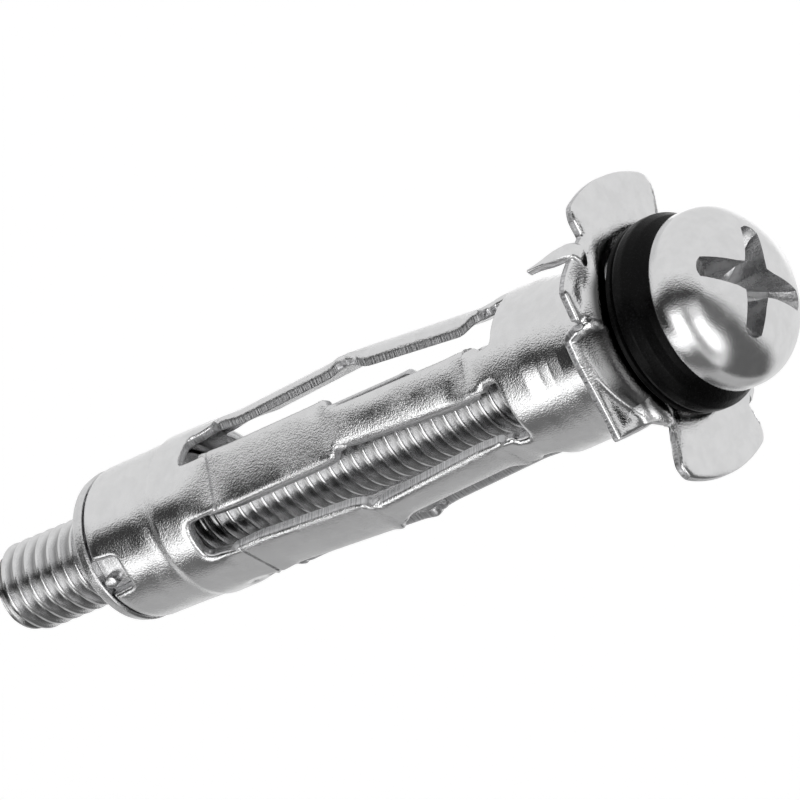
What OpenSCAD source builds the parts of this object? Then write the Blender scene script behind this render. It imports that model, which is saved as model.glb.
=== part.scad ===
// Hollow wall anchor, M6: a pan-head machine screw, a plastic washer under its head, a stamped sheet
// sleeve with five folding legs, and a flanged nut crimped into the sleeve's tail.
// Millimetres. +Z points out of the wall, towards the screw's head. The origin is on the screw's axis,
// in the plane of the flange's back face, where the wall's surface is. +X points along one ear.

/* [Screw] */
// thread outside diameter
thread_d = 5.92; // [5.80:0.02:6.00]
// thread pitch
pitch = 1.0; // [0.8:0.1:1.25]
// length of the screw under its head
screw_len = 60; // [52:1:70]
// head diameter
head_d = 11.8; // [11:0.1:12]
// head height
head_h = 4.3; // [3.6:0.1:4.6]
// height of the straight side of the head
head_side = 0.9; // [0.4:0.1:1.4]
// tip-to-tip size of the cross recess
recess_span = 6.8; // [6.0:0.1:7.2]
// width of each arm of the recess
recess_arm = 1.7; // [1.3:0.1:2.2]
// depth of the recess
recess_depth = 3.2; // [2.5:0.1:3.6]
// turn of the recess from the ear
recess_turn = 57; // [0:1:90]

/* [Washer] */
// diameter of the washer's rim
washer_d = 12.9; // [12:0.1:14]
// diameter of the washer's narrow front
washer_neck_d = 10.6; // [9:0.1:11.5]
// washer thickness, from the flange to the head
washer_h = 3.6; // [2.5:0.1:4]

/* [Sleeve] */
// sheet thickness
sheet = 0.8; // [0.6:0.05:1.0]
// outside diameter of the collar, the part that fills the hole in the wall
collar_d = 11.0; // [10.8:0.1:12]
// depth of the collar's end of the slots
slot_top = 9.5; // [8:0.1:11]
// depth of the fold where the legs leave the collar
fold_top = 11.9; // [10:0.1:14]
// depth of the fold where the legs join the tail
fold_tail = 34.1; // [30:0.1:38]
// depth of the tail's end of the slots
slot_tail = 36.9; // [35:0.1:40]
// depth of the sleeve's end
sleeve_end = 45.4; // [42:0.1:50]
// distance from the axis to the outside of a leg at its folds
leg_flat = 5.2; // [5.0:0.05:5.4]
// number of legs
legs = 5; // [4:1:6]
// turn of the first leg from the ear
leg_turn = -4; // [-36:1:36]
// how far the legs already bow outwards before the anchor is set, degrees
leg_bow = 3.4; // [2:0.1:6]
// leg width at the collar
leg_w_top = 3.2; // [2.6:0.1:3.6]
// leg width at the middle fold, on the collar's side
leg_w_mid = 2.6; // [2.2:0.1:3.2]
// leg width on the tail's side
leg_w_tail = 4.0; // [3.4:0.1:4.4]

/* [Flange] */
// distance across the tips of the two ears
ear_span = 20.6; // [18:0.1:23]
// width of an ear where it leaves the flange
ear_w_root = 8.8; // [7:0.1:10]
// width of an ear at its tip
ear_w_tip = 10; // [8:0.1:11]
// diameter of the flange between the ears
rim_d = 15.6; // [14:0.1:17]
// width across the flange's straight sides
side_w = 14.6; // [13:0.1:16]
// depth that the side flap is turned back
flap_drop = 2.0; // [1:0.1:3]
// depth that the points of the claws reach
claw_drop = 3.6; // [2:0.1:4.5]
// turn of each claw from its ear
claw_turn = 39; // [34:1:44]
// turn of the slit between a claw and the side flap from its ear
slit_turn = 71; // [66:1:76]

/* [Tail] */
// outside diameter of the tail's narrow end
tail_d = 10.2; // [9.8:0.1:10.4]
// outside diameter of the tail's wide part
tail_wide_d = 10.6; // [10:0.1:10.6]
// depth of the step between them
tail_step = 39.6; // [38:0.1:42]
// diameter of the nut's flange
nut_flange_d = 10.0; // [9:0.1:10.8]
// thickness of the nut's flange
nut_flange_h = 1.6; // [1:0.1:2.5]
// length of the nut inside the tail
nut_len = 6.2; // [4:0.1:8]
// width of the key notch in the sleeve's end
key_w = 2.6; // [1.5:0.1:3.5]
// length of the key notch
key_l = 2.0; // [1:0.1:3]

/* [Hidden] */
$fn = 48;

zinc = [0.80, 0.80, 0.82];
bright = [0.86, 0.86, 0.88];
black = [0.05, 0.05, 0.05];

fine = 0.03;                                  // gap left at each fold line
run_gap = 0.05;                               // running clearance of the thread in the nut, on the radius
press = 0.02;                                 // the nut's grip in the crimped tail, on the radius
head_z = sheet + washer_h + 0.1;              // where the head bears on the washer
screw_end = head_z - screw_len;
thread_r = thread_d / 2;
root_r = thread_r - 0.61 * pitch;
collar_r = collar_d / 2;
bore_r = collar_r - sheet;
fold_mid = (fold_top + fold_tail) / 2;
half = (fold_tail - fold_top) / 2;            // each half of a leg, measured along the axis
plate = (half - sheet * sin(leg_bow)) / cos(leg_bow);
leg_step = 360 / legs;
slot_w_top = 2 * PI * (collar_r - 0.1) / legs - leg_w_top;
slot_w_tail = 2 * PI * (tail_wide_d / 2 - 0.1) / legs - leg_w_tail;
tongue = 1.0;                                 // length of the flat tongue each leg folds from
ear_r = ear_span / 2;
slit_w = 0.7;
slit_in = 5.9;                                // how near the axis the slit reaches

// a flat shape drawn in Y and Z, given a thickness along X
module upright(thick) rotate([90, 0, 90]) linear_extrude(thick) children();

// children repeated at every leg
module each_leg() for (i = [0 : legs - 1]) rotate(leg_turn + i * leg_step) children();

// children repeated at every slot between two legs
module each_slot() for (i = [0 : legs - 1]) rotate(leg_turn + (i + 0.5) * leg_step) children();

// one end of a slot, from z_in to its closed end, with round corners set out sideways by lobe
module slot_end(wide, z_in, z_end, corner_r, lobe) {
    way = sign(z_end - z_in);
    mid = wide / 2 - corner_r + lobe;
    translate([bore_r - 1.5, 0, 0]) upright(4) {
        polygon([[-wide / 2, z_in], [wide / 2, z_in], [wide / 2, z_end - way * corner_r],
                 [mid, z_end - way * fine], [-mid, z_end - way * fine],
                 [-wide / 2, z_end - way * corner_r]]);
        for (s = [-1, 1]) translate([s * mid, z_end - way * corner_r]) circle(r = corner_r, $fn = 24);
    }
}

// the flat tongue that a leg folds from, between two depths
module fold_tongue(wide, z_low, z_high)
    translate([leg_flat - sheet, 0, 0]) upright(sheet)
        polygon([[-wide / 2, z_low], [wide / 2, z_low], [wide / 2, z_high], [-wide / 2, z_high]]);

// the two broad ears and the flange between them, seen along the axis
module flange_outline() {
    intersection() {
        circle(r = ear_r, $fn = 72);
        polygon([[ear_r + 1, ear_w_tip / 2], [rim_d / 2 - 1.5, ear_w_root / 2],
                 [-rim_d / 2 + 1.5, ear_w_root / 2], [-ear_r - 1, ear_w_tip / 2],
                 [-ear_r - 1, -ear_w_tip / 2], [-rim_d / 2 + 1.5, -ear_w_root / 2],
                 [rim_d / 2 - 1.5, -ear_w_root / 2], [ear_r + 1, -ear_w_tip / 2]]);
    }
    intersection() {
        circle(r = rim_d / 2, $fn = 72);
        square([rim_d, side_w], center = true);
    }
}

// a long side of the flange turned back towards the wall, like a brim
module side_flap() {
    near = 2.0;
    far = -5.2;
    translate([0, side_w / 2, 0]) rotate([90, 0, 0]) linear_extrude(sheet)
        polygon([[near, sheet], [near, -flap_drop], [far + 0.4, -flap_drop + 0.3], [far, -flap_drop + 0.7],
                 [far + 1, sheet]]);
}

// a narrow claw beside an ear, turned straight back into the wall
module claw() {
    root = 1.1;
    point = 0.2;
    rotate(claw_turn) translate([rim_d / 2 - sheet + 0.35, 0, 0]) upright(sheet)
        polygon([[-root, sheet], [-0.8, -1.2], [-point, -claw_drop], [point, -claw_drop],
                 [0.9, -1.0], [root, sheet]]);
}

// one-piece front of the sleeve: collar, funnel, flange, ears and claws
module collar() color(zinc) {
    ring_end = -fold_top + tongue;
    neck_r = collar_r - 0.35;
    hub_r = bore_r - 0.3;
    flare_r = side_w / 2;
    difference() {
        union() {
            rotate_extrude($fn = 72) polygon([
                [collar_r, ring_end], [collar_r, -6.6], [neck_r, -6.1], [neck_r, -5.2],
                [collar_r - 0.15, -3.6], [5.9, -1.8], [6.8, -0.5], [flare_r, 0], [flare_r, sheet],
                [6.6, 0.55], [5.4, -1.3], [bore_r, -3.3], [hub_r, -5.2], [hub_r, -6.3],
                [bore_r, -6.8], [bore_r, ring_end]]);
            linear_extrude(sheet) difference() {
                flange_outline();
                circle(r = flare_r - 0.4, $fn = 72);
            }
            for (a = [0, 180]) rotate(a) {
                side_flap();
                claw();
            }
            each_leg() fold_tongue(leg_w_top, -fold_top, ring_end + 0.4);
        }
        each_slot() slot_end(slot_w_top, ring_end - 0.1, -slot_top, 0.62, 0.35);
        // the slit between the side flap and the claw
        for (a = [0, 180]) rotate(a + slit_turn) translate([slit_in, -slit_w / 2, -1]) cube([4, slit_w, 3]);
    }
}

// the front half of a leg, from the collar's fold to the middle fold
module leg_front() color(zinc)
    translate([leg_flat, 0, -fold_top]) rotate([0, -leg_bow, 0]) translate([-sheet, 0, 0]) upright(sheet)
        polygon([[-leg_w_top / 2, -fine], [leg_w_top / 2, -fine], [leg_w_mid / 2, fine + 1.1 - plate],
                 [leg_w_mid / 2 + 0.15, fine - plate], [-leg_w_mid / 2 - 0.15, fine - plate],
                 [-leg_w_mid / 2, fine + 1.1 - plate]]);

// the rear half of a leg, from the middle fold to the tail's fold, wider than the front half
module leg_rear() color(zinc)
    translate([leg_flat, 0, -fold_tail]) rotate([0, leg_bow, 0]) translate([-sheet, 0, 0]) upright(sheet)
        polygon([[-leg_w_tail / 2, fine], [leg_w_tail / 2, fine], [leg_w_tail / 2, plate - 0.7],
                 [leg_w_tail / 2 - 0.4, plate - fine], [-leg_w_tail / 2 + 0.4, plate - fine],
                 [-leg_w_tail / 2, plate - 0.7]]);

module leg_1_front() rotate(leg_turn) leg_front();
module leg_2_front() rotate(leg_turn + leg_step) leg_front();
module leg_3_front() rotate(leg_turn + 2 * leg_step) leg_front();
module leg_4_front() rotate(leg_turn + 3 * leg_step) leg_front();
module leg_5_front() rotate(leg_turn + 4 * leg_step) leg_front();
module leg_1_rear() rotate(leg_turn) leg_rear();
module leg_2_rear() rotate(leg_turn + leg_step) leg_rear();
module leg_3_rear() rotate(leg_turn + 2 * leg_step) leg_rear();
module leg_4_rear() rotate(leg_turn + 3 * leg_step) leg_rear();
module leg_5_rear() rotate(leg_turn + 4 * leg_step) leg_rear();

// one-piece tail of the sleeve: five tongues, the wide part, the step and the end crimped on the nut
module tail_barrel() color(zinc) {
    wide_r = tail_wide_d / 2;
    tail_r = tail_d / 2;
    slope = 0.4;
    ring_end = -fold_tail - tongue;
    difference() {
        union() {
            rotate_extrude($fn = 72) polygon([
                [wide_r, ring_end], [wide_r, -tail_step + slope], [tail_r, -tail_step - slope],
                [tail_r, -sleeve_end + 0.3], [tail_r - 0.3, -sleeve_end], [tail_r - sheet, -sleeve_end],
                [tail_r - sheet, -tail_step - slope], [wide_r - sheet, -tail_step + slope],
                [wide_r - sheet, ring_end]]);
            each_leg() fold_tongue(leg_w_tail, ring_end - 0.4, -fold_tail);
        }
        each_slot() slot_end(slot_w_tail, ring_end + 0.1, -slot_tail, 0.8, fine);
        // the notch that the nut's key sits in
        rotate(leg_turn + 1.5 * leg_step) translate([tail_r - 2, -key_w / 2, -sleeve_end - 1])
            cube([4, key_w, key_l + 1]);
    }
}

// flanged nut, held in the tail by the crimp and kept from turning by its key
module nut() color(bright) {
    tail_in = tail_d / 2 - sheet;
    flange_r = nut_flange_d / 2;
    flange_z = -sleeve_end - fine;
    difference() {
        union() {
            rotate_extrude($fn = 72) polygon([
                [0, flange_z + nut_len], [tail_in - 0.3, flange_z + nut_len],
                [tail_in + press, flange_z + nut_len - 0.3], [tail_in + press, flange_z],
                [flange_r - 0.1, flange_z], [flange_r, flange_z - 0.15], [flange_r - 0.1, flange_z - 0.8],
                [flange_r - 0.9, flange_z - nut_flange_h], [0, flange_z - nut_flange_h]]);
            rotate(leg_turn + 1.5 * leg_step) translate([tail_in - 0.6, -key_w / 2 + 0.5, flange_z - 0.2])
                cube([1.1, key_w - 1.0, 1.2]);
        }
        translate([0, 0, flange_z - nut_flange_h - 1])
            cylinder(r = thread_r + run_gap, h = nut_len + nut_flange_h + 2);
    }
}

// black plastic washer: a hub in the funnel, a thin lip, a groove, then a rim drawn in to the head
module washer() color(black) {
    rim_r = washer_d / 2;
    neck_r = washer_neck_d / 2;
    bore = thread_r + 0.1;
    hub_r = 4.0;
    hub_end = -1.2;
    lip_z = sheet + 0.5;
    lip_top = sheet + 0.9;
    groove = 0.35;
    rim_z = sheet + 1.1;
    rim_top = sheet + 2.0;
    shoulder_z = sheet + 2.9;
    rotate_extrude($fn = 72) polygon([
        [bore, hub_end], [hub_r, hub_end], [hub_r + 0.6, sheet + 0.15], [rim_r - 0.8, lip_z],
        [rim_r - 0.1, lip_z], [rim_r - 0.1, lip_top], [rim_r - groove, lip_top], [rim_r - groove, rim_z],
        [rim_r, rim_z + 0.1], [rim_r, rim_top], [rim_r - 0.4, rim_top + 0.5], [neck_r + 0.2, shoulder_z],
        [neck_r, shoulder_z + 0.3], [neck_r, head_z - fine], [bore, head_z - fine]]);
}

// the cross recess: two crossed arms whose ends slope in to the bottom
module recess() {
    top = head_z + head_h;
    intersection() {
        translate([0, 0, top - recess_depth]) linear_extrude(recess_depth + 1) {
            square([recess_span + 1, recess_arm], center = true);
            square([recess_arm, recess_span + 1], center = true);
            rotate(45) square([recess_arm * 1.55, recess_arm * 1.55], center = true);
        }
        rotate_extrude($fn = 48) polygon([
            [0, top - recess_depth], [0.9, top - recess_depth + 0.3], [2.0, top - recess_depth + 0.9],
            [recess_span / 2, top - 0.35], [recess_span / 2 + 0.3, top + 1], [0, top + 1]]);
    }
}

// pan-head machine screw, threaded all the way up to its head
module screw() color(bright) {
    head_r = head_d / 2;
    rise = head_h - head_side;
    steps = 9;
    turns = floor((screw_len - 0.9) / pitch);
    difference() {
        rotate_extrude($fn = 64) polygon(concat(
            [[0, head_z], [head_r - 0.15, head_z], [head_r, head_z + 0.15], [head_r, head_z + head_side]],
            [for (i = [1 : steps]) let (a = 90 * i / steps)
                [head_r * pow(cos(a), 0.82), head_z + head_side + rise * pow(sin(a), 0.94)]]));
        rotate(recess_turn) recess();
    }
    rotate_extrude($fn = 32) polygon(concat(
        [[0, head_z + 0.3], [root_r, head_z + 0.3], [root_r, thread_z(0)]],
        [for (i = [0 : turns - 1], k = [0, 1]) k == 0
            ? [root_r, thread_z(i)] : [thread_r, thread_z(i + 0.5)]],
        [[root_r, thread_z(turns)], [root_r - 0.1, screw_end], [0, screw_end]]));
}
// height of the thread after so many turns down from the head
function thread_z(n) = head_z - 0.6 - n * pitch;

collar();
leg_1_front();
leg_2_front();
leg_3_front();
leg_4_front();
leg_5_front();
leg_1_rear();
leg_2_rear();
leg_3_rear();
leg_4_rear();
leg_5_rear();
tail_barrel();
nut();
washer();
screw();
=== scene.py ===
"""Visual model of a hollow wall anchor: a formed sheet sleeve with five folding legs, a nut crimped in its
tail, a plastic washer and a pan-head screw. Z is the screw's axis and points out of the wall. Lengths are in
millimetres until a mesh is made, and angles are in degrees except for BOW."""
import math

import bmesh
import bpy
import numpy as np
from mathutils import Matrix, Vector


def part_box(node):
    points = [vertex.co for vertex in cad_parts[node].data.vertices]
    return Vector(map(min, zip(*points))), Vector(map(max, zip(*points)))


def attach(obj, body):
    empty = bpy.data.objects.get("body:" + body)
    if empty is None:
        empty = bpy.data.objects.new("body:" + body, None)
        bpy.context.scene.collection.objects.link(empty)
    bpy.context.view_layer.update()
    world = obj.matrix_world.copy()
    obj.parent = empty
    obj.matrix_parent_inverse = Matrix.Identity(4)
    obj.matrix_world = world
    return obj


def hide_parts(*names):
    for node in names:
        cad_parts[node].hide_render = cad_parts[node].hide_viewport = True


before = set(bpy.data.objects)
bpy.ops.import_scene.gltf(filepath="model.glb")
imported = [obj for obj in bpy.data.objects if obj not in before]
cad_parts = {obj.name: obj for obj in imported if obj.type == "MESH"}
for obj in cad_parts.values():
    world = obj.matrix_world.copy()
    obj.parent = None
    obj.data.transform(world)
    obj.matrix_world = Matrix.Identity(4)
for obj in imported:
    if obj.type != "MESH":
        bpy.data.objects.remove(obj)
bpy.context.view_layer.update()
MM = 0.001


def low(node):
    return np.array(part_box(node)[0]) / MM


def high(node):
    return np.array(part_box(node)[1]) / MM


# ---- sizes, from the frame where the frame has them ----
SHEET = 0.8                                  # sheet thickness
LEGS = 5
LEG_STEP = 360 / LEGS
LEG_TURN = -4                                # azimuth of the first leg
FOLD_TOP = low("collar")[2]                  # fold between collar and legs
FOLD_TAIL = high("tail_barrel")[2]           # fold between legs and tail
SLEEVE_END = low("tail_barrel")[2]
LEG_FLAT = 5.2                               # outside of a leg at its folds, from the axis
BOW = math.radians(3.4)                      # how far the legs already bow outwards
PLATE = ((FOLD_TOP - FOLD_TAIL) / 2 - SHEET * math.sin(BOW)) / math.cos(BOW)    # length of half a leg
LEG_TOP_W, LEG_MID_W, LEG_TAIL_W = 3.2, 2.6, 4.0    # a leg's width at the collar, in the middle, at the tail
COLLAR_R = 5.5
NECK_R = 5.27                                # the tube just under the flange
NECK_Z = -4.3                                # where the tube ends and the flange begins
SLOT_TOP = -9.5                              # the slots' closed ends
SLOT_TAIL = -36.9
TAIL_WIDE_R = high("tail_barrel")[0]
TAIL_R = 5.1
EAR_R = high("collar")[0]
SIDE_Y = high("collar")[1]
HEAD_TOP = high("screw")[2]
HEAD_R = high("screw")[0]
SCREW_END = low("screw")[2]
THREAD_R = 2.96
PITCH = 1.0
WASHER_R = high("washer")[0]
WASHER_TOP = high("washer")[2]
HEAD_Z = WASHER_TOP + 0.03                   # underside of the head, just clear of the washer
NUT_END = low("nut")[2]
SHARP = 42.0                                 # edges that turn by more than this are shaded sharp
WELD, SLIVER = 0.002, 0.0005                 # points this close are one point, edges this short go
MAX_ROUNDING = 0.49                          # a corner's rounding takes at most this share of each side


# ---- small helpers ----
def smooth(x):
    x = np.clip(x, 0, 1)
    return x * x * (3 - 2 * x)


def bell(x, width):
    return math.exp(-(x / width) ** 2)


def polar(r, azimuth):
    return r * math.cos(math.radians(azimuth)), r * math.sin(math.radians(azimuth))


def run_along(path):
    """The distance along a path at each of its points."""
    return np.concatenate([[0], np.cumsum(np.linalg.norm(np.diff(path, axis=0), axis=1))])


def rounded_path(points, radii, arc_steps=6):
    """A polyline through points, with each inner corner rounded to its radius."""
    out = [np.array(points[0], float)]
    for k in range(1, len(points) - 1):
        a, b, c = (np.array(points[k + d], float) for d in (-1, 0, 1))
        u, v = (a - b) / np.linalg.norm(a - b), (c - b) / np.linalg.norm(c - b)
        turn = math.acos(np.clip(u @ v, -1, 1))
        shorter = min(np.linalg.norm(a - b), np.linalg.norm(c - b))
        cut = min(radii[k] / math.tan(turn / 2), MAX_ROUNDING * shorter)
        for i in range(arc_steps + 1):
            t = i / arc_steps
            out.append((1 - t) ** 2 * (b + u * cut) + 2 * t * (1 - t) * b + t * t * (b + v * cut))
    out.append(np.array(points[-1], float))
    return np.array(out)


def rounded_outline(corners, arc_steps=5):
    """The same from (radius, height, corner radius) rows."""
    return rounded_path([c[:2] for c in corners], [c[2] for c in corners], arc_steps)


def resample(path, count):
    """The same path with count points at even distances."""
    path = np.asarray(path, float)
    run = run_along(path)
    at = np.linspace(0, run[-1], count)
    return np.stack([np.interp(at, run, path[:, k]) for k in range(path.shape[1])], axis=1)


def spline(control, count):
    """A smooth quadratic curve that starts and ends at the first and last control points."""
    c = np.asarray(control, float)
    knots = np.concatenate([[c[0]], (c[1:-2] + c[2:-1]) / 2, [c[-1]]])
    out = []
    for x in np.linspace(0, len(knots) - 1, count):
        k = min(int(x), len(knots) - 2)
        f = x - k
        out.append((1 - f) ** 2 * knots[k] + 2 * f * (1 - f) * c[k + 1] + f * f * knots[k + 1])
    return np.array(out)


def mirrored(half_path):
    """A path that ends on the middle line, carried on by its mirror image."""
    mirror = half_path[::-1].copy()
    mirror[:, 0] *= -1
    return np.concatenate([half_path, mirror[1:]])


def gap_to(points, edge):
    """Each grid point's distance from the nearest point of an edge."""
    return np.min(np.linalg.norm(points[:, :, None, :] - edge[None, None, :, :], axis=3), axis=2)


def die_roll(distance, width, depth):
    """How far a sheet's surface drops near a punched edge, at a distance from that edge."""
    x = np.clip(1 - distance / width, 0, 1)
    return depth * (1 - np.sqrt(1 - x * x))


class Build:
    """Collects points and faces. Each point keeps its distance along a cut edge, and each face whether it
    is a cut edge."""

    def __init__(self):
        self.points, self.along, self.faces, self.cut = [], [], [], []

    def grid(self, points, cut=False, along=None, closed=False):
        """Rows of points, joined to their neighbours by quads. closed joins each row's end to its start."""
        points = np.asarray(points, float)
        rows, cols = points.shape[:2]
        base = len(self.points)
        flat = points.reshape(-1, 3)
        self.points += [tuple(p) for p in flat]
        self.along += [0.0] * len(flat) if along is None else list(np.asarray(along, float).reshape(-1))
        for r in range(rows - 1):
            for c in range(cols if closed else cols - 1):
                d = (c + 1) % cols
                self.faces.append((base + r * cols + c, base + r * cols + d,
                                   base + (r + 1) * cols + d, base + (r + 1) * cols + c))
                self.cut.append(cut)

    def cap(self, loop):
        base = len(self.points)
        loop = [tuple(p) for p in loop]
        centre = tuple(np.mean(np.array(loop), axis=0))
        self.points += loop + [centre]
        self.along += [0.0] * (len(loop) + 1)
        for k in range(len(loop)):
            self.faces.append((base + k, base + (k + 1) % len(loop), base + len(loop)))
            self.cut.append(False)

    def mesh(self, name):
        mesh = bpy.data.meshes.new(name)
        mesh.from_pydata([tuple(np.array(p) * MM) for p in self.points], [], self.faces)
        layer = mesh.attributes.new("along", "FLOAT", "POINT")
        layer.data.foreach_set("value", np.array(self.along, np.float32))
        mesh.polygons.foreach_set("material_index", np.array(self.cut, np.int32))
        work = bmesh.new()
        work.from_mesh(mesh)
        bmesh.ops.remove_doubles(work, verts=work.verts, dist=WELD * MM)
        bmesh.ops.dissolve_degenerate(work, edges=work.edges, dist=SLIVER * MM)
        bmesh.ops.recalc_face_normals(work, faces=work.faces)
        work.to_mesh(mesh)
        work.free()
        shade_smooth(mesh, SHARP)
        mesh.update()
        return mesh


def shade_smooth(mesh, sharp):
    mesh.polygons.foreach_set("use_smooth", np.ones(len(mesh.polygons), bool))
    mesh.set_sharp_from_angle(angle=math.radians(sharp))


def add_object(name, mesh, materials):
    piece = bpy.data.objects.new(name, mesh)
    bpy.context.scene.collection.objects.link(piece)
    for m in materials:
        piece.data.materials.append(m)
    return piece


def place(name, build, body, materials, nodes=()):
    """Makes a piece, gives it its finish, lets it ride on its body and hides the CAD nodes it stands for."""
    piece = add_object(name, build.mesh(name), materials)
    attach(piece, body)
    if nodes:
        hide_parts(*nodes)


# ---- materials ----
class Nodes:
    """A short way to write a node tree. An input is named, or given by its number as i0, i1 and so on."""

    def __init__(self, tree):
        self.tree = tree
        tree.nodes.clear()

    def add(self, kind, settings=None, **inputs):
        node = self.tree.nodes.new(kind)
        for key, value in (settings or {}).items():
            setattr(node, key, value)
        for key, value in inputs.items():
            numbered = key[0] == "i" and key[1:].isdigit()
            socket = node.inputs[int(key[1:]) if numbered else key.replace("_", " ")]
            if isinstance(value, bpy.types.NodeSocket):
                self.tree.links.new(value, socket)
            else:
                socket.default_value = value
        return node

    def math(self, op, a, b=0.0, c=0.0):
        return self.add("ShaderNodeMath", {"operation": op}, i0=a, i1=b, i2=c).outputs[0]

    def noise(self, where, scale, detail=3.0, rough=0.5):
        return self.add("ShaderNodeTexNoise", {}, Vector=where, Scale=scale, Detail=detail,
                        Roughness=rough).outputs["Fac"]

    def span(self, value, lo, hi, out_lo=0.0, out_hi=1.0):
        return self.add("ShaderNodeMapRange", {"interpolation_type": "SMOOTHSTEP"}, i0=value, i1=lo, i2=hi,
                        i3=out_lo, i4=out_hi).outputs[0]

    def blend(self, colour, towards, factor):
        return self.add("ShaderNodeMix", {"data_type": "RGBA"}, i0=factor, i6=colour, i7=towards).outputs[2]

    def bump(self, height, strength, depth):
        return self.add("ShaderNodeBump", {}, Strength=strength, Distance=depth * MM,
                        Height=height).outputs[0]

    def finish(self, **inputs):
        shader = self.add("ShaderNodeBsdfPrincipled", {}, **inputs)
        out = self.add("ShaderNodeOutputMaterial")
        self.tree.links.new(shader.outputs[0], out.inputs[0])


def new_material(name):
    material = bpy.data.materials.new(name)
    material.use_nodes = True
    return material, Nodes(material.node_tree)


def grey(tone, blue=0.0):
    return tone, tone, tone + blue, 1


def object_place(n):
    return n.add("ShaderNodeTexCoord").outputs["Object"]


MIDDLE = (0.3, 0.7)                          # the part of a noise's range that is spread over the whole
TINT = 0.005                                 # zinc is this much stronger in blue


def zinc(name, tones, rough, grain, grain_size, mottled, painted_shade=None, side=None):
    """Bright zinc plate on pressed steel: a pebbled grain that comes and goes, and cloudy tone and gloss.

    painted shade = (radius in, radius out, height from, height to, tone): shade painted into the colour
    nearer the axis than the radii, and side = (from, to): it grows with the distance from the plane through
    the ears."""
    material, n = new_material(name)
    where = object_place(n)
    pebble = n.noise(where, 1 / (grain_size * MM), 2.0, 0.55)
    patches = n.noise(where, 260.0, 2.0, 0.5)        # about 4 mm across: the grain is weaker between them
    cloud = n.noise(where, 900.0, 4.0, 0.6)          # about 1 mm across
    height = n.math("MULTIPLY", pebble, n.span(patches, 0.38, 0.62, 0.45, 1.0))
    height = n.math("ADD", height, n.math("MULTIPLY", cloud, mottled))
    colour = n.blend(grey(tones[0], TINT), grey(tones[1], TINT), n.span(cloud, *MIDDLE))
    # painted shade: the colour is drawn towards a dark tone near the axis, where the part lies in shade
    if painted_shade:
        r_in, r_out, z_from, z_to, tone = painted_shade
        x, y, z = n.add("ShaderNodeSeparateXYZ", {}, Vector=where).outputs
        radius = n.math("SQRT", n.math("ADD", n.math("MULTIPLY", x, x), n.math("MULTIPLY", y, y)))
        shade_mask = n.math("MULTIPLY", n.span(radius, r_in * MM, r_out * MM, 1.0, 0.0),
                      n.span(z, z_from * MM, z_to * MM))
        if side:
            shade_mask = n.math("MULTIPLY", shade_mask, n.span(n.math("ABSOLUTE", y), side[0] * MM, side[1] * MM))
        colour = n.blend(colour, grey(tone), shade_mask)
    n.finish(Base_Color=colour, Metallic=1.0, Roughness=n.span(cloud, *MIDDLE, *rough),
             Normal=n.bump(height, grain, 0.06))
    return material


def cut_steel(name):
    """A sheared edge: fine ridges across the sheet, brighter and duller by turns."""
    material, n = new_material(name)
    along = n.add("ShaderNodeAttribute", {"attribute_name": "along"}).outputs["Fac"]
    ridges = n.noise(n.add("ShaderNodeCombineXYZ", {}, X=along).outputs[0], 7.0, 2.0, 0.6)
    fine = n.noise(object_place(n), 5000.0, 2.0, 0.5)
    height = n.math("ADD", ridges, n.math("MULTIPLY", fine, 0.25))
    n.finish(Base_Color=n.blend(grey(0.42, 0.01), grey(0.84, 0.01), n.span(ridges, *MIDDLE)), Metallic=1.0,
             Roughness=n.span(fine, *MIDDLE, 0.26, 0.42), Normal=n.bump(height, 0.55, 0.08))
    return material


def black_plastic(name):
    """Moulded black plastic, a little glossy, with a fine grain and dust-like specks."""
    material, n = new_material(name)
    where = object_place(n)
    grain = n.noise(where, 3500.0, 3.0, 0.6)
    specks = n.noise(where, 9000.0, 1.0, 0.5)
    n.finish(Base_Color=n.blend(grey(0.002), grey(0.010, 0.001), n.span(specks, 0.55, 0.8)),
             Roughness=n.span(grain, *MIDDLE, 0.22, 0.38), Normal=n.bump(grain, 0.35, 0.04),
             Specular_IOR_Level=0.09)
    return material


# name, darkest and lightest tone, roughness from and to, the grain's strength and size, and the clouds'
# share in it. The thread's painted shade has no lower end: its heights lie below the screw.
# painted shade: the funnel round the washer is darkened to tone 0.09, more on the pressed-back sides than at
# the ears
SLEEVE = zinc("zinc sleeve", (0.77, 0.83), (0.08, 0.15), 0.50, 0.11, 0.2,
              painted_shade=(6.45, 6.95, -2.3, -1.5, 0.09), side=(3.4, 5.2))
LEG = zinc("zinc leg", (0.77, 0.83), (0.12, 0.20), 0.85, 0.11, 0.2)
SCREW = zinc("zinc screw", (0.77, 0.83), (0.05, 0.10), 0.25, 0.09, 0.2)
# painted shade: the thread's roots are darkened towards tone 0.36 inside radius 2.85
THREAD = zinc("zinc thread", (0.74, 0.83), (0.10, 0.18), 0.25, 0.09, 0.2, painted_shade=(2.4, 2.85, -90, -80, 0.36))
NUT = zinc("zinc nut", (0.66, 0.80), (0.16, 0.28), 0.5, 0.12, 0.3)
# painted shade: the recess gets darker tones (0.42 to 0.74 against the head's 0.77 to 0.83) to stand in for
# the shade inside it
RECESS = zinc("zinc recess", (0.42, 0.74), (0.20, 0.34), 0.6, 0.14, 0.5)
CUT = cut_steel("sheared edge")
PLASTIC = black_plastic("black plastic")


# ---- legs ----
ROLL_W, ROLL_D = 0.42, 0.28                  # rounding of the outer edges, across and down
BURR = 0.06                                  # bevel of the inner edges
FACE_PARTS, ROLL_AT, WALL_PARTS, BACK_PARTS = 8, [22, 45, 68, 90], 3, 4


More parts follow.
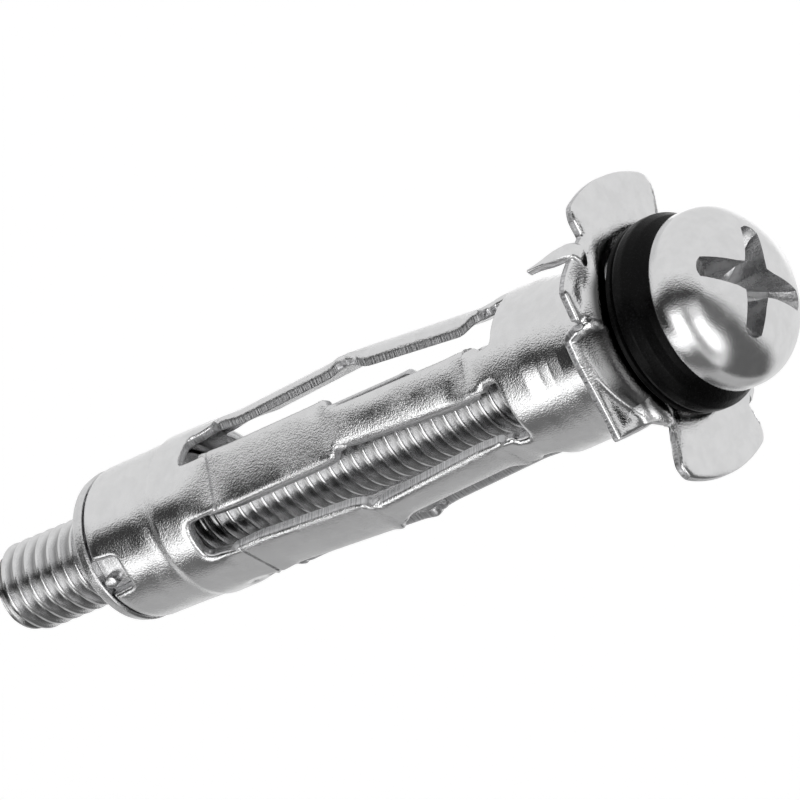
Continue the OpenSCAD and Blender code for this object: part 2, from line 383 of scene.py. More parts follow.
def leg_section(width):
    """A leg's section as (across, depth), clockwise from the outer face's left."""
    half = width / 2
    flat = half - ROLL_W
    face = [(-flat + 2 * flat * k / FACE_PARTS, 0.0) for k in range(FACE_PARTS + 1)]
    edge = [(flat + ROLL_W * math.sin(t), ROLL_D * (1 - math.cos(t))) for t in np.radians(ROLL_AT)]
    edge += [(half, ROLL_D + (SHEET - BURR - ROLL_D) * k / WALL_PARTS) for k in range(1, WALL_PARTS + 1)]
    edge += [(half - BURR, SHEET)]
    back = [((half - BURR) * (1 - 2 * k / BACK_PARTS), SHEET) for k in range(1, BACK_PARTS)]
    return np.array(face + edge + back + [(-y, d) for y, d in reversed(edge)])


SECTION_N = len(leg_section(LEG_TOP_W))
WALL_FROM = FACE_PARTS + len(ROLL_AT)        # the first column of the section's right-hand cut edge
CUT_COLUMNS = {*range(WALL_FROM, WALL_FROM + 4), *range(SECTION_N - 7, SECTION_N - 3)}

KNEE_FLARE, KNEE_FLARE_L = 0.14, 0.45        # a front half widens by this over this length at the knee
KNEE_CORNER = 0.5                            # corner radius of a rear half's wider end
ROOT_DENT_W, KNEE_DENT, KNEE_DENT_W = 0.16, 0.06, 0.18      # half widths and depth of the fold lines
ROOT_FLAT_L, KNEE_FLAT_L = 2.0, 1.4          # the face flattens over these lengths towards the folds
END_L = 0.7                                  # the sections lie closer together this near the folds
FAN_SHRINK = 0.03                            # a fan lies this much inside its sheet
ROOT_FAN = (72, 54, 36, 18, 4)               # how far each of a fan's sections is turned
KNEE_FAN = (4, 20, 38, 56, 74)
ALONG_STEP = 31.0                            # sets the ridges of one leg's cut edge off from the next's


def leg_half(front):
    """One half of a leg in its own plane: X out from the axis, Y across, Z along the screw.
    Its ends carry on as hidden fans about the fold lines, which come out as the sheet bends."""
    way = -1 if front else 1
    crest = 0.45 if front else 0.2           # the highest line lies this far off the middle
    radius = 3.6 if front else 9.0           # rounding left from the tube that the leg is cut from
    root_dent = 0.05 if front else 0.10      # depth of the coined fold line at the collar or the tail
    start = np.array([LEG_FLAT, FOLD_TOP if front else FOLD_TAIL])
    run = np.array([math.sin(BOW), way * math.cos(BOW)])
    out = np.array([math.cos(BOW), -way * math.sin(BOW)])

    def half_width(s):
        if front:
            w = LEG_TOP_W + (LEG_MID_W - LEG_TOP_W) * s / PLATE
            return w / 2 + KNEE_FLARE * smooth((s - PLATE + KNEE_FLARE_L) / KNEE_FLARE_L)
        x = np.clip((s - PLATE + KNEE_CORNER) / KNEE_CORNER, 0, 1)
        return LEG_TAIL_W / 2 - KNEE_CORNER * (1 - math.sqrt(1 - x * x))

    def crease(s):
        return root_dent * bell(s, ROOT_DENT_W) + KNEE_DENT * bell(PLATE - s, KNEE_DENT_W)

    def crown(s):
        """How fast the face falls away from its highest line: not at all at the folds."""
        return smooth(s / ROOT_FLAT_L) * smooth((PLATE - s) / KNEE_FLAT_L) / (2 * radius)

    def fan(pivot, s, turns):
        """Copies of the section at s, turned about the pivot."""
        made = []
        for a in np.radians(way * np.array(turns)):
            c, d = math.cos(a), math.sin(a)
            spot = []
            for y, depth in leg_section(2 * half_width(s) - FAN_SHRINK):
                p = start + run * s - out * (depth * (1 - FAN_SHRINK) + FAN_SHRINK / 2) - pivot
                p = np.array([c * p[0] - d * p[1], d * p[0] + c * p[1]]) + pivot
                spot.append((p[0], y, p[1]))
            made.append(spot)
        return made

    stations = np.concatenate([np.linspace(0, END_L, 8)[:-1], np.linspace(END_L, PLATE - END_L, 26)[:-1],
                               np.linspace(PLATE - END_L, PLATE, 9)])
    loops = fan(start, 0.0, ROOT_FAN)
    for s in stations:
        spot = []
        for y, depth in leg_section(2 * half_width(s)):
            drop = crease(s) if depth < ROLL_D else 0.0
            p = start + run * s - out * (depth + drop + crown(s) * (y + crest) ** 2)
            spot.append((p[0], y, p[1]))
        loops.append(spot)
    loops += fan(start + run * PLATE - out * SHEET, PLATE, KNEE_FAN)
    along = np.concatenate([[0.0] * len(ROOT_FAN), stations, [PLATE] * len(KNEE_FAN)])
    return np.array(loops), along


def leg_piece(number, front):
    name = ("leg_front_%d" if front else "leg_rear_%d") % number
    node = ("leg_%d_front" if front else "leg_%d_rear") % number
    loops, along = leg_half(front)
    c, s = polar(1, LEG_TURN + (number - 1) * LEG_STEP)
    turned = np.stack([loops[..., 0] * c - loops[..., 1] * s, loops[..., 0] * s + loops[..., 1] * c,
                       loops[..., 2]], axis=-1)
    build = Build()
    build.grid(turned, along=np.repeat(along[:, None] + number * ALONG_STEP, SECTION_N, axis=1), closed=True)
    build.cut = [k % SECTION_N in CUT_COLUMNS for k in range(len(build.faces))]
    build.cap(turned[0])
    build.cap(turned[-1])
    place(name, build, node, [LEG, CUT], [node])


# ---- the tube of the sleeve: a U-shaped grid round each slot, with plain rings beyond ----
PER_SLOT = 24                                # columns round the tube to each slot
HALF_SLOT = PER_SLOT // 2
ROLL_STEPS = [0, 0.03, 0.08, 0.16, 0.27, 0.42]      # distances of the closest rows from a punched edge,
NEAR_SHARE = 0.9                             # though never past this share of the way to the border
OUTER_ROLL = (0.4, 0.3)                      # width and depth of the rounding at the crimped end
SLOT_ROLL = (0.5, 0.34)                      # at the slots, outside
INNER_ROLL = (0.08, 0.06)                    # at any edge, inside
PROFILE_N = 240


def profile(corners):
    """A tube's outside line, from (radius, height, corner radius) rows: gives radius and outward normal at
    a height."""
    line = resample(rounded_outline(corners, 6), PROFILE_N)
    order = np.argsort(line[:, 1])
    z, r = line[order, 1], line[order, 0]
    slope = np.gradient(r, z)

    def at(height):
        rr, k = np.interp(height, z, r), np.interp(height, z, slope)
        n = 1 / np.sqrt(1 + k * k)
        return rr, n, -k * n

    return at


def slot_edge(left, radii, count_side):
    """A slot's edge in unrolled (across, along), from its left side's corners. The last two corners are the
    closed end's."""
    path = rounded_path(left, radii, 8)
    (across, end) = left[-2]
    split = np.argmin(np.abs(path[:, 0] - across) + np.abs(path[:, 1] - end))
    side = resample(path[:split + 1], count_side + 1)
    top = resample(path[split:], HALF_SLOT + 1)
    return mirrored(np.concatenate([side, top[1:]]))


def share_border(half_step, z_near, z_ring, count_side):
    """The border of one slot's share of the tube, unrolled: up one side, across and down the other."""
    side = np.stack([np.full(count_side + 1, -half_step),
                     np.linspace(z_near, z_ring, count_side + 1)], axis=1)
    top = np.stack([np.linspace(-half_step, 0, HALF_SLOT + 1), np.full(HALF_SLOT + 1, z_ring)], axis=1)
    return mirrored(np.concatenate([side, top[1:]]))


def rows_between(edge, border, spread):
    """Rows of points from a punched edge out to its border: close together first, then evenly spread."""
    span = np.linalg.norm(border - edge, axis=1)
    shares = [np.minimum(step / span, NEAR_SHARE) for step in ROLL_STEPS]
    shares += [shares[-1] + (1 - shares[-1]) * k / spread for k in range(1, spread + 1)]
    return np.array([edge + (border - edge) * f[:, None] for f in shares])


def sheared_wall(build, outer, inner, along, parts=(0, 0.33, 0.67, 1.0), closed=False):
    """The cut face between the outer and the inner edge of a sheet."""
    wall = [outer + (inner - outer) * f for f in parts]
    build.grid(wall, cut=True, along=np.tile(along, (len(parts), 1)), closed=closed)


def slotted_ring(build, at, azimuth, slot, z_fold, z_ring, r_ref, flat_from):
    """One slot's share of the tube, from the middle of one tongue to the middle of the next. The tongues
    flatten from the height flat_from to the fold."""
    half_angle = math.radians(LEG_STEP / 2)
    border = share_border(half_angle * r_ref, z_fold, z_ring, len(slot) // 2 - HALF_SLOT)
    unrolled = rows_between(slot, border, 7)
    y, z = unrolled[..., 0], unrolled[..., 1]
    gap = gap_to(unrolled, slot)

    def solid(depth):
        r, nr, nz = at(z)
        rr, zz = r - depth * nr, z - depth * nz
        side = np.where(y < 0, -1.0, 1.0) * half_angle
        turn = y / r_ref - side
        x, across = rr * np.cos(turn), rr * np.sin(turn)
        x = x + (LEG_FLAT - depth - x) * smooth((z - flat_from) / (z_fold - flat_from))
        c, s = np.cos(side + math.radians(azimuth)), np.sin(side + math.radians(azimuth))
        return np.stack([x * c - across * s, x * s + across * c, zz], axis=-1)

    outer = solid(die_roll(gap, *SLOT_ROLL))
    inner = solid(SHEET - die_roll(gap, *INNER_ROLL))
    build.grid(outer)
    build.grid(inner)
    sheared_wall(build, outer[0], inner[0], run_along(slot) + azimuth)
    for column in (0, -1):                   # the tongues' ends, under the legs' hidden fans
        build.grid([outer[:, column], inner[:, column]])


def ring(build, at, heights, drop=lambda z: 0.0):
    """A plain stretch of tube through the heights, outside and inside. drop is a groove's depth outside."""
    turn = np.radians(LEG_TURN + np.arange(PER_SLOT * LEGS) * LEG_STEP / PER_SLOT)
    outer, inner = [], []
    for z in heights:
        r, nr, nz = at(z)
        for rows, depth in ((outer, drop(z)), (inner, SHEET)):
            rows.append([((r - depth * nr) * math.cos(t), (r - depth * nr) * math.sin(t), z - depth * nz)
                         for t in turn])
    build.grid(outer, closed=True)
    build.grid(inner, closed=True)


RING_Z = -8.3                                # where the collar's slotted part ends
DRAW_MARKS = [(-6.1, 0.16, 0.007), (-5.3, 0.13, 0.006)]     # height, half width and depth of each
LOBE = 0.36                                  # a slot is this much wider on each side at its closed end
LOBE_FROM, LOBE_TO = 1.45, 1.15              # it widens between these distances from its end


def collar_tube(build):
    """The collar: slotted from the legs up, then a swelling and the neck. Gives its profile."""
    at = profile([(5.42, FOLD_TOP - 1, 0), (5.44, -11.0, 3), (COLLAR_R, -9.2, 3), (5.47, -7.2, 1.5),
                  (5.34, -6.2, 0.8), (5.28, -5.2, 1), (NECK_R, NECK_Z, 1), (NECK_R, NECK_Z + 1, 0)])
    half = math.radians(LEG_STEP / 2) * COLLAR_R - LEG_TOP_W / 2
    wide = half + LOBE
    left = [(-half, FOLD_TOP), (-half, SLOT_TOP - LOBE_FROM), (-wide, SLOT_TOP - LOBE_TO), (-wide, SLOT_TOP),
            (0, SLOT_TOP)]
    slot = slot_edge(left, [0, 0.25, 0.2, 0.55, 0], 26)
    for k in range(LEGS):
        slotted_ring(build, at, LEG_TURN + (k + 0.5) * LEG_STEP, slot, FOLD_TOP, RING_Z, COLLAR_R, -9.9)
    ring(build, at, np.linspace(RING_Z, NECK_Z, 84),
         lambda z: sum(depth * bell(z - mark_z, half_w) for mark_z, half_w, depth in DRAW_MARKS))
    return at


# ---- the flange: one formed sheet whose outline and slope change round the axis ----
EAR_HALF = 29.5                              # half the angle an ear covers
SHORT_EAR = 0.45                             # the ear on +X is this much shorter
EAR_ROUND, CORNER_FROM, CORNER_L = 0.9, 8.5, 9.0    # how far its corners are rounded back, over which angle
NOTCH, NOTCH_R = 72.5, 6.9                   # azimuth of each side's slit, and radius at its bottom
BRIM_END = 126.0                             # azimuth of the corner where each side's straight brim ends
BRIM_Y = SIDE_Y - 0.36                       # the brims' edges are straight, this far from the axis
BRIM_X = 5.4                                 # and end this far along
NEAR_LOW, SIDE_LOW = -0.9, -1.75             # how low the sides hang before and after the slit
SIDE_RISE = 0.45                             # they rise again by this towards the corner
CLAW_AT = 39                                 # azimuth of the first claw; the other is opposite
FLANGE_ROWS, EDGE_ROWS = 44, 14              # rows from neck to edge, and how many may be rounded
FLANGE_ROLL, FLANGE_BACK_ROLL = (0.70, 0.30), (0.16, 0.10)  # width and depth of the edge's rounding


def flange_shape(azimuth):
    """Outline radius, how far the side is pressed back (0 on an ear, 1 on the side) and its depth."""
    a = azimuth % 180
    sine, cosine = (max(abs(f(math.radians(a))), 0.05) for f in (math.sin, math.cos))
    near = a <= 90
    rest = min(BRIM_Y / sine, 8.2) if near else min(BRIM_Y / sine, BRIM_X / cosine, 9.0)
    from_ear = min(a, 180 - a)
    corner = smooth((from_ear - (EAR_HALF - CORNER_FROM)) / CORNER_L)
    ear_r = EAR_R - EAR_ROUND * corner ** 2 - (SHORT_EAR if math.cos(math.radians(azimuth)) > 0 else 0)
    r_end = rest + (ear_r - rest) * smooth((EAR_HALF + 2.0 - from_ear) / 4.0)
    r_end = r_end + (NOTCH_R - r_end) * math.exp(-((a - NOTCH) / 1.6) ** 4)
    if near:
        press = 0.7 * smooth((a - EAR_HALF) / 28) + 0.3 * smooth((a - NOTCH) / 5)
        low_z = NEAR_LOW + (SIDE_LOW - NEAR_LOW) * smooth((a - NOTCH) / 6)
    else:
        past = a - BRIM_END - 2
        press = 1.0 if past < 0 else max(0.0, 1 - past / (180 - EAR_HALF - BRIM_END - 2))
        low_z = SIDE_LOW + SIDE_RISE * min((a - 90) / (BRIM_END - 90), 1.0)
    return r_end, press, low_z


def flange_line(azimuth, mid_r, mid_z):
    """The line midway through the sheet from neck to edge, as (radius, height)."""
    r_end, press, low_z = flange_shape(azimuth)
    mid = SHEET / 2
    ear = [(mid_r, mid_z), (mid_r + 0.02, -2.6), (mid_r + 0.35, -0.9), (6.1, mid), (7.0, mid), (7.7, mid),
           (r_end, mid)]
    side = [(mid_r, mid_z), (mid_r + 0.15, -2.5), (mid_r + 0.3, -0.7), (5.3, 0.62), (6.15, 0.3),
            (6.25, low_z + 0.05), (r_end, low_z)]
    control = np.array(ear) * (1 - press) + np.array(side) * press
    control[-1, 0] = r_end
    control[-2, 0] = min(control[-2, 0], (control[-3, 0] + r_end) / 2)
    curve = resample(spline(control, 160), PROFILE_N)
    run = run_along(curve)
    last = run[-1] - np.array(ROLL_STEPS[::-1])
    stops = np.concatenate([np.linspace(0, last[0], FLANGE_ROWS - len(last) + 1)[:-1], last])
    return np.interp(stops, run, curve[:, 0]), np.interp(stops, run, curve[:, 1])


def flange(build, at):
    r0, nr, nz = at(NECK_Z)
    base = LEG_TURN + np.arange(PER_SLOT * LEGS + 1) * LEG_STEP / PER_SLOT
    middle = []
    for a0, a1 in zip(base[:-1], base[1:]):
        centre = (a0 + a1) / 2 % 180
        busy = min(abs(centre - x) for x in (EAR_HALF, 180 - EAR_HALF, NOTCH, BRIM_END)) < 6
        parts = 5 if busy else 2             # more columns where the outline turns
        for a in a0 + (a1 - a0) * np.arange(parts) / parts:
            r, z = flange_line(a, r0 - SHEET / 2 * nr, NECK_Z - SHEET / 2 * nz)
            c, s = polar(1, a)
            middle.append(np.stack([r * c, r * s, z], axis=1))
    middle = np.transpose(np.array(middle), (1, 0, 2))
    normal = np.cross(np.roll(middle, -1, axis=1) - np.roll(middle, 1, axis=1), np.gradient(middle, axis=0))
    normal /= np.linalg.norm(normal, axis=2, keepdims=True)
    edge = middle[-1]
    far = np.full((FLANGE_ROWS - EDGE_ROWS, len(edge)), EAR_R)
    gap = np.concatenate([far, gap_to(middle[-EDGE_ROWS:], edge)])
    front = middle - normal * (SHEET / 2 - die_roll(gap, *FLANGE_ROLL))[..., None]
    back = middle + normal * (SHEET / 2 - die_roll(gap, *FLANGE_BACK_ROLL))[..., None]
    build.grid(front, closed=True)
    build.grid(back, closed=True)
    sheared_wall(build, front[-1], back[-1], run_along(edge), closed=True)


CLAW_LINE = [(7.05, 0.16), (7.8, 0.36), (8.35, 0.1), (8.3, -1.0), (8.15, -2.6), (8.05, -3.7)]
CLAW_W, CLAW_T = 0.66, 0.37                  # half its width and half its thickness at the root


def claw(build, azimuth):
    """A narrow spike bent straight back from the flange's edge. It narrows a little at once, then again and
    more towards its tip, where it thins too."""
    line = spline(CLAW_LINE, 26)
    ahead = np.gradient(line, axis=0)
    ahead /= np.linalg.norm(ahead, axis=1, keepdims=True)
    c, s = polar(1, azimuth)
    loops = []
    for k, (r, z) in enumerate(line):
        f = k / (len(line) - 1)
        half = CLAW_W - 0.14 * smooth(f * 1.5) - 0.4 * smooth((f - 0.6) / 0.4)
        thick = CLAW_T - 0.12 * smooth((f - 0.7) / 0.3)
        loop = []
        for t in np.radians(np.arange(12) * 30 + 15):
            y = half * np.sign(math.cos(t)) * abs(math.cos(t)) ** 0.45
            d = thick * np.sign(math.sin(t)) * abs(math.sin(t)) ** 0.6
            x, up = r - ahead[k][1] * d, z + ahead[k][0] * d
            loop.append((x * c - y * s, x * s + y * c, up))
        loops.append(loop)
    build.grid(loops, closed=True)
    build.cap(loops[0])
    build.cap(loops[-1])


def collar_piece():
    build = Build()
    flange(build, collar_tube(build))
    for azimuth in (CLAW_AT, CLAW_AT + 180):
        claw(build, azimuth)
    place("sleeve_collar", build, "collar", [SLEEVE, CUT], ["collar"])


# ---- the tail of the sleeve ----
TAIL_RING_Z, CRIMP_Z = -38.2, -42.4          # the tail's plain ring lies between these heights
KEY_SHARE = 1                                # the slot whose share of the end has the notch for the nut's key
KEY_HALF, KEY_DEPTH = 1.32, 2.05


def tube_point(at, y, z, depth, azimuth):
    """A point of the tail, from its place on the unrolled tube and its depth in the sheet."""
    r, nr, nz = at(z)
    rr, zz = r - depth * nr, z - depth * nz
    turn = y / TAIL_R + math.radians(azimuth)
    return np.stack([rr * np.cos(turn), rr * np.sin(turn), zz], axis=-1)


def both_sides(build, at, y, z, gap, azimuth):
    outer = tube_point(at, y, z, die_roll(gap, *OUTER_ROLL), azimuth)
    inner = tube_point(at, y, z, SHEET - die_roll(gap, *INNER_ROLL), azimuth)
    build.grid(outer)
    build.grid(inner)
    return outer, inner


def plain_end(build, at, azimuth):
    """The sleeve's plain end over one slot's share of the tube, with its edge rounded by the crimp."""
    half_step = math.radians(LEG_STEP / 2) * TAIL_R
    across = np.linspace(-half_step, half_step, PER_SLOT + 1)
    heights = np.concatenate([np.linspace(CRIMP_Z, SLEEVE_END + ROLL_STEPS[-1], 16)[:-1],
                              SLEEVE_END + np.array(ROLL_STEPS[::-1])])
    y, z = np.meshgrid(across, heights)
    outer, inner = both_sides(build, at, y, z, z - SLEEVE_END, azimuth)
    sheared_wall(build, outer[-1], inner[-1], across + azimuth, (0, 0.5, 1.0))


def key_end(build, at, azimuth):
    """The same, with the notch for the nut's key."""
    narrow = KEY_HALF - 0.17
    key = slot_edge([(-KEY_HALF, 0.0), (-narrow, KEY_DEPTH), (0, KEY_DEPTH)], [0, 0.5, 0], 18)
    key[:, 1] += SLEEVE_END
    border = share_border(math.radians(LEG_STEP / 2) * TAIL_R, SLEEVE_END, CRIMP_Z, 18)
    unrolled = rows_between(key, border, 8)
    y, z = unrolled[..., 0], unrolled[..., 1]
    gap = np.minimum(gap_to(unrolled, key), z - SLEEVE_END)
    outer, inner = both_sides(build, at, y, z, gap, azimuth)
    sheared_wall(build, outer[0], inner[0], run_along(key))
    for column in (0, -1):
        build.grid([outer[:, column], inner[:, column]], cut=True)


def tail_piece():
    """The tail of the sleeve: five tongues, the wide ring, the step and the end crimped on the nut."""
    build = Build()
    at = profile([(5.28, FOLD_TAIL + 1, 0), (TAIL_WIDE_R, -36.0, 4), (TAIL_WIDE_R, -39.15, 0.3),
                  (TAIL_R + 0.02, -39.75, 0.25), (TAIL_R + 0.04, -40.4, 0.8), (TAIL_R, -41.5, 1),
                  (TAIL_R - 0.04, -44.6, 0.8), (TAIL_R - 0.16, SLEEVE_END, 0.3),
                  (TAIL_R - 0.3, SLEEVE_END - 1, 0)])
    half = math.radians(LEG_STEP / 2) * TAIL_WIDE_R - LEG_TAIL_W / 2
    narrow = half - 0.06
    slot = slot_edge([(-half, -FOLD_TAIL), (-narrow, -SLOT_TAIL), (0, -SLOT_TAIL)], [0, 0.75, 0], 20)
    slot[:, 1] *= -1
    shares = [LEG_TURN + (k + 0.5) * LEG_STEP for k in range(LEGS)]
    for azimuth in shares:
        slotted_ring(build, at, azimuth, slot, FOLD_TAIL, TAIL_RING_Z, TAIL_WIDE_R, -36.2)
    ring(build, at, np.linspace(TAIL_RING_Z, CRIMP_Z, 30))
    for k, azimuth in enumerate(shares):
        (key_end if k == KEY_SHARE else plain_end)(build, at, azimuth)
    place("sleeve_tail", build, "tail", [SLEEVE, CUT], ["tail_barrel"])


# ---- turned and rolled parts ----
def lathe(build, line, steps=96):
    """A solid of revolution from its outline, given as (radius, height)."""
    turns = np.arange(steps) * 2 * math.pi / steps
    build.grid([[(r * math.cos(t), r * math.sin(t), z) for t in turns] for r, z in line], closed=True)


NUT_TOP = SLEEVE_END + 6.0
NUT_RIM = SLEEVE_END - 0.09                  # the nut's flange bears on the sleeve's end here
NUT_BODY_R = 4.2
NUT_BORE = THREAD_R + 0.04
NUT_THREAD = 0.28                            # depth of the nut's thread
KEY_OFF, KEY_Z = 0.35, SLEEVE_END + 0.55     # the nut's key: off the notch's middle, and its height
KEY_HALF_W, KEY_HALF_H = 0.42, 0.5           # its half width and half height
KEY_LINE = [(4.0, 1.0), (4.7, 1.0), (4.86, 0.9), (4.9, 0.7)]    # and its size at each distance from the axis


def nut_piece():
    flange_r = high("nut")[0]
    build = Build()
    lathe(build, rounded_outline([
        (NUT_BORE + 0.25, NUT_END, 0), (flange_r - 0.95, NUT_END, 0.3),
        (flange_r - 0.15, NUT_END + 0.75, 0.35), (flange_r, NUT_RIM - 0.12, 0.12),
        (flange_r - 0.12, NUT_RIM, 0.08), (NUT_BODY_R, NUT_RIM, 0.1), (NUT_BODY_R, NUT_TOP, 0.3),
        (NUT_BORE + 0.4, NUT_TOP, 0)]))
    halves = int((NUT_TOP - NUT_END) / PITCH * 2) - 1
    inner = [(NUT_BORE + (0.0 if k % 2 else NUT_THREAD), NUT_TOP - 0.3 - k * PITCH / 2)
             for k in range(halves)]
    lathe(build, [(NUT_BORE + 0.4, NUT_TOP)] + inner + [(NUT_BORE + 0.25, NUT_END)])
    # the key that stops the nut from turning in the sleeve
    c, s = polar(1, LEG_TURN + (KEY_SHARE + 0.5) * LEG_STEP)
    loops = []
    for x, grow in KEY_LINE:
        spot = [(KEY_OFF + KEY_HALF_W * grow * math.cos(t), KEY_Z + KEY_HALF_H * grow * math.sin(t))
                for t in np.radians(np.arange(16) * 22.5)]
        loops.append([(x * c - y * s, x * s + y * c, z) for y, z in spot])
    build.grid(loops, closed=True)
    build.cap(loops[-1])
    place("crimp_nut", build, "tail", [NUT], ["nut"])


def washer_piece():
    """Hub in the funnel, a thin lip, a groove, then a fat rim that draws in towards the head."""
    neck = 5.3
    bore = THREAD_R + 0.12
    hub_end = -1.2
    rim = WASHER_R
    line = rounded_outline([
        (bore, hub_end, 0), (4.0, hub_end, 0.3), (4.6, 0.95, 0.4), (5.5, 1.2, 0.2),     # hub
        (rim - 0.24, 1.28, 0.1), (rim - 0.10, 1.42, 0.06), (rim - 0.14, 1.66, 0.06),    # lip
        (rim - 0.34, 1.78, 0.04), (rim - 0.34, 1.86, 0.04),                             # groove
        (rim - 0.04, 2.0, 0.08), (rim, 2.2, 0.1), (rim, 2.75, 0.4), (rim - 0.35, 3.3, 0.5),     # rim
        (neck + 0.25, 3.75, 0.3), (neck, 4.1, 0.2), (neck, WASHER_TOP, 0.1), (bore, WASHER_TOP, 0)])
    build = Build()
    lathe(build, np.concatenate([line, line[:1]]), 128)
    place("plastic_washer", build, "washer", [PLASTIC], ["washer"])


THREAD_STEPS = 56                            # to each turn
THREAD_ROOT = THREAD_R - 0.60
# the screw's point: radius beyond the thread's root, and height above the screw's end
POINT = [(-THREAD_ROOT, 0.12), (1.2 - THREAD_ROOT, 0.1), (-0.45, 0.0), (-0.1, 0.06), (0.06, 0.25),
         (0.04, 1.3), (-0.3, 1.6)]


def thread_piece():
    """The rolled thread as one helical strip, so that its crest runs true, and the screw's plain point."""
    root, build = THREAD_ROOT, Build()
    flank = [(0.0, root), (0.10, root + 0.03), (0.22, root + 0.16), (0.33, THREAD_R - 0.16),
             (0.41, THREAD_R - 0.02)]        # share of the pitch, and radius
    section = flank + [(0.5, THREAD_R)] + [(1 - f, r) for f, r in reversed(flank)]
    bottom, top = SCREW_END + 0.45, HEAD_Z - 0.2
    turns = (top - bottom) / PITCH
    rows = []
    for k in range(int(turns * THREAD_STEPS) + 1):
        t = k / THREAD_STEPS
        c, s = math.cos(2 * math.pi * t), math.sin(2 * math.pi * t)
        full = 0.25 + 0.75 * smooth(t / 1.1) * smooth((turns - t) / 0.4)    # it runs out at both ends
        row = []
        for f, r in section:
            z = min(max(bottom + (t + f - 1) * PITCH, bottom - 0.25), top)
            rr = root + (r - root) * full
            row.append((rr * c, rr * s, z))
        rows.append(row)
    build.grid(rows)
    lathe(build, [(root + r, SCREW_END + z) for r, z in POINT], THREAD_STEPS)
    place("screw_thread", build, "screw", [THREAD])


HEAD_SIDE = 0.9                              # height of the head's upright side
DOME_STEPS, DOME_FULL, DOME_RISE = 32, 0.80, 0.96   # powers below 1 make the dome fuller than an ellipse
RECESS_TURN = 57
RECESS_OFF = 0.45                            # the punch landed this far off the axis
SHORT_ARM = 0.8                              # two of its arms reach less far
RECESS_SHARP = 28
# height from the head's top, an arm's reach, its half width, and the middle's half width
RECESS_LEVELS = [(1.0, 5.6, 0.95, 1.6), (0.0, 5.1, 0.86, 1.4), (-1.1, 4.4, 0.76, 1.26),
                 (-1.8, 3.3, 0.68, 1.1), (-2.7, 1.9, 0.58, 0.9), (-3.2, 1.1, 0.45, 0.6)]


def recess_cutter():
    """A cross-shaped punch: four arms that narrow and slope in with depth, round a conical middle."""
    off_x, off_y = polar(RECESS_OFF, RECESS_TURN)
    loops = []
    for dz, long_reach, half, waist in RECESS_LEVELS:
        loop = []
        for arm in range(4):
            c, s = polar(1, RECESS_TURN + arm * 90)
            tip = half * 0.62 * 0.6
            reach = max(long_reach * (SHORT_ARM if arm % 2 else 1.0), waist + 0.6)
            spot = [(waist * 0.70, -waist * 0.70), (waist + 0.25, -half), (reach - 0.35, -half * 0.86),
                    (reach - 0.05, -tip), (reach, 0), (reach - 0.05, tip), (reach - 0.35, half * 0.86),
                    (waist + 0.25, half)]
            loop += [(x * c - y * s + off_x, x * s + y * c + off_y, HEAD_TOP + dz) for x, y in spot]
        loops.append(loop)
    build = Build()
    build.grid(loops, closed=True)
    build.cap(loops[0])
    build.cap(loops[-1])
    build.cut = [True] * len(build.faces)    # they leave the second material, the recess's
    return add_object("cutter", build.mesh("cutter"), [SCREW, RECESS])


def head_piece():
    """The pan head: a low dome with a rounded edge, cut by a cross recess."""
    rise = HEAD_TOP - HEAD_Z - HEAD_SIDE
    line = [(0.0, HEAD_Z), (1.5, HEAD_Z), (HEAD_R - 0.25, HEAD_Z), (HEAD_R - 0.07, HEAD_Z + 0.06),
            (HEAD_R, HEAD_Z + 0.22), (HEAD_R, HEAD_Z + HEAD_SIDE)]
    for k in range(1, DOME_STEPS):
        a = math.pi / 2 * k / DOME_STEPS
        line.append((HEAD_R * math.cos(a) ** DOME_FULL, HEAD_Z + HEAD_SIDE + rise * math.sin(a) ** DOME_RISE))
    build = Build()
    lathe(build, line + [(0.0, HEAD_TOP)], 160)
    head = add_object("screw_head", build.mesh("screw_head"), [SCREW, RECESS])
    cutter = recess_cutter()
    cut = head.modifiers.new("recess", "BOOLEAN")
    cut.operation, cut.solver, cut.object = "DIFFERENCE", "EXACT", cutter
    bpy.context.view_layer.update()
    shape = bpy.data.meshes.new_from_object(head.evaluated_get(bpy.context.evaluated_depsgraph_get()))
    head.modifiers.clear()
    head.data = shape
    bpy.data.objects.remove(cutter)
    shade_smooth(shape, RECESS_SHARP)
    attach(head, "screw")
    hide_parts("screw")


collar_piece()
tail_piece()
nut_piece()
washer_piece()
thread_piece()
head_piece()
for number in range(1, LEGS + 1):
    leg_piece(number, True)
    leg_piece(number, False)


# ---- floor, light and camera ----
FLOOR_Z, FLOOR_HALF = -260.0, 4000
SURROUND = 0.80                              # brightness between the panels
# azimuth, half width, elevation, half height, softness (degrees), brightness
PANELS = [
    (146, 84, 76, 20, 8, 0.17),              # dim ceiling beyond the object
    (95, 75, -78, 16, 8, 0.14),              # shade under it
    (65, 13, 0, 70, 5, 0.05),                # gap between the front and left panels
    (195, 30, 30, 42, 6, 0.13),              # dark right-hand side
    (184, 46, -36, 24, 8, 0.44),             # and its paler foot
    (147, 18, -32, 28, 6, 0.17),             # gap beside the low soft box
    (115, 34, 14, 12, 5, 0.42),              # the gap between the two soft boxes
    (127, 24, 37, 11, 4, 2.0),               # high soft box
    (103, 17, -12, 16, 3, 2.0),              # low soft box
    (120, 10, -42, 16, 5, 1.45),             # with a narrower foot
    (86, 17, -51, 16, 4, 0.04),              # shade beside that foot
    (280, 12, -22, 18, 6, 1.2),              # rim light from behind
]
# the camera, fitted to the photograph's view: where it looks, from which side, and how far it is tilted
CAMERA_AIM = Vector((1.874, 0.0, -21.215))
CAMERA_AZIMUTH, CAMERA_ELEVATION, CAMERA_ROLL = 87.8306, 38.3625, 67.2287
CAMERA_DISTANCE, LENS, SENSOR = 1538.809, 1104.0, 36.0


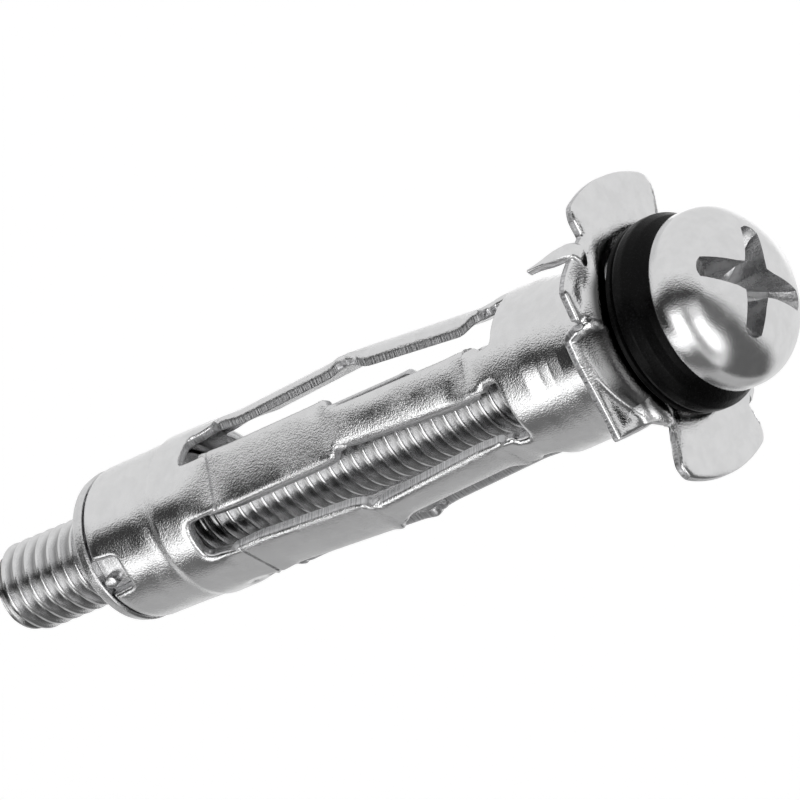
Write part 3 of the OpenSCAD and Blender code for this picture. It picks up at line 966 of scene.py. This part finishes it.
def make_floor():
    build = Build()
    span = np.linspace(-FLOOR_HALF, FLOOR_HALF, 9)
    build.grid([[(x, y, FLOOR_Z) for x in span] for y in span])
    material, n = new_material("pale floor")
    tone = n.blend(grey(0.90), grey(0.94), n.noise(object_place(n), 3.0))
    n.finish(Base_Color=tone, Roughness=0.9, Emission_Color=grey(1), Emission_Strength=0.42)
    floor = add_object("floor", build.mesh("floor"), [material])
    floor.visible_glossy = False


def make_light():
    """A plain studio: pale all round, with panels that are darker or brighter than that. Later panels lie
    over earlier ones."""
    world = bpy.data.worlds.new("studio")
    bpy.context.scene.world = world
    world.use_nodes = True
    n = Nodes(world.node_tree)
    towards = n.add("ShaderNodeTexCoord").outputs["Generated"]
    x, y, z = n.add("ShaderNodeSeparateXYZ", {}, Vector=towards).outputs
    azimuth = n.math("MULTIPLY", n.math("ARCTAN2", y, x), 180 / math.pi)
    height = n.math("MULTIPLY", n.math("ARCSINE", z), 180 / math.pi)
    level = SURROUND
    for az, half_az, el, half_el, soft, to in PANELS:
        off = n.math("SUBTRACT", azimuth, az)
        off = n.math("ABSOLUTE", n.math("WRAP", off, 180.0, -180.0))
        side = n.span(off, half_az - soft, half_az + soft, 1.0, 0.0)
        rise = n.math("ABSOLUTE", n.math("SUBTRACT", height, el))
        mask = n.math("MULTIPLY", side, n.span(rise, half_el - soft, half_el + soft, 1.0, 0.0))
        level = n.math("ADD", n.math("MULTIPLY", level, n.math("SUBTRACT", 1.0, mask)),
                       n.math("MULTIPLY", mask, to))
    out = n.add("ShaderNodeOutputWorld")
    back = n.add("ShaderNodeBackground", {}, Color=grey(1), Strength=level)
    n.tree.links.new(back.outputs[0], out.inputs[0])


def make_camera():
    data = bpy.data.cameras.new("camera")
    camera = bpy.data.objects.new("camera", data)
    bpy.context.scene.collection.objects.link(camera)
    data.sensor_width, data.lens = SENSOR, LENS
    data.clip_start, data.clip_end = 0.05, 20.0
    flat, lift = polar(1, CAMERA_ELEVATION)
    away = Vector((*polar(flat, CAMERA_AZIMUTH), lift))
    level = Vector((*polar(1, CAMERA_AZIMUTH + 90), 0))
    cosine, sine = polar(1, CAMERA_ROLL)
    right = level * cosine + away.cross(level) * sine
    up = away.cross(right)
    camera.matrix_world = Matrix.Translation((CAMERA_AIM + away * CAMERA_DISTANCE) * MM) @ Matrix(
        (right, up, away)).transposed().to_4x4()
    bpy.context.scene.camera = camera


make_floor()
make_light()
make_camera()
bpy.context.scene.view_settings.view_transform = "Standard"
